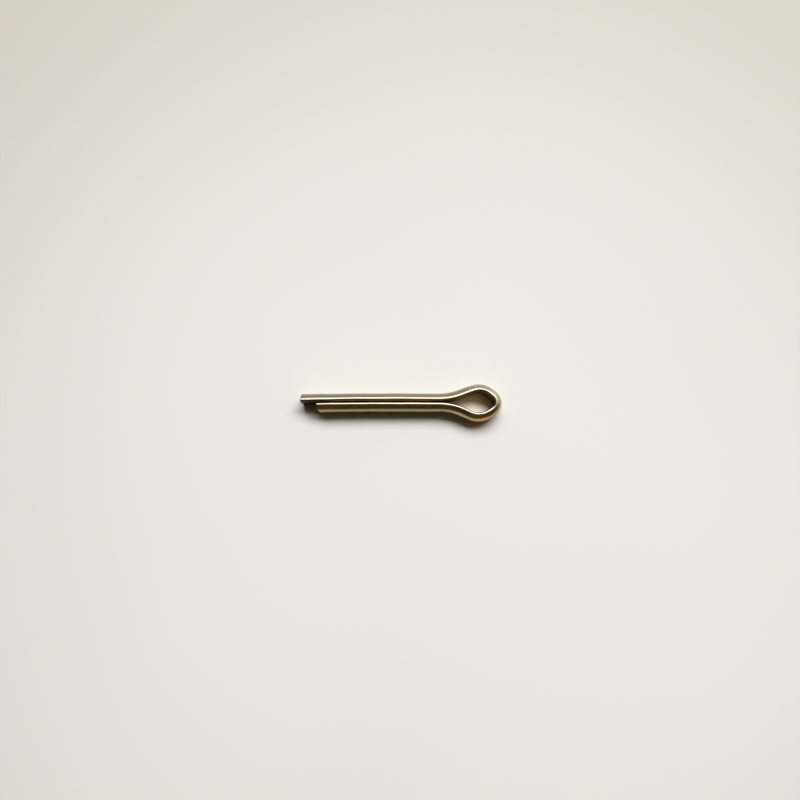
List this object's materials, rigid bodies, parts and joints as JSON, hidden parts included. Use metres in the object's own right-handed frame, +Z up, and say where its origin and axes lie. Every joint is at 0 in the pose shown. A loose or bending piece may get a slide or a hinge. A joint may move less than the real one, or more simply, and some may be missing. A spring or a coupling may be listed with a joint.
{
  "type": "cotter pin",
  "caption": "Split pin bent from half-round steel wire, with prongs that close into a round shank and a teardrop eye that seats on the mouth of the hole it locks.",
  "frame": {"origin": "on the axis of the shank, in the plane where the neck under the eye meets the mouth of a 5 mm hole", "axes": "+X from the prongs to the eye, +Y from the split towards the long prong, +Z up, square to the plane the pin is bent in and lies on"},
  "size_m": [0.049, 0.0094, 0.0042],
  "materials": {
    "zinc_plated_steel": "bright zinc plate with a faint warm passivation tint, drawn lines along the wire"
  },
  "bodies": {
    "root": {"cotter_pin": "zinc_plated_steel"}
  },
  "joints": []
}
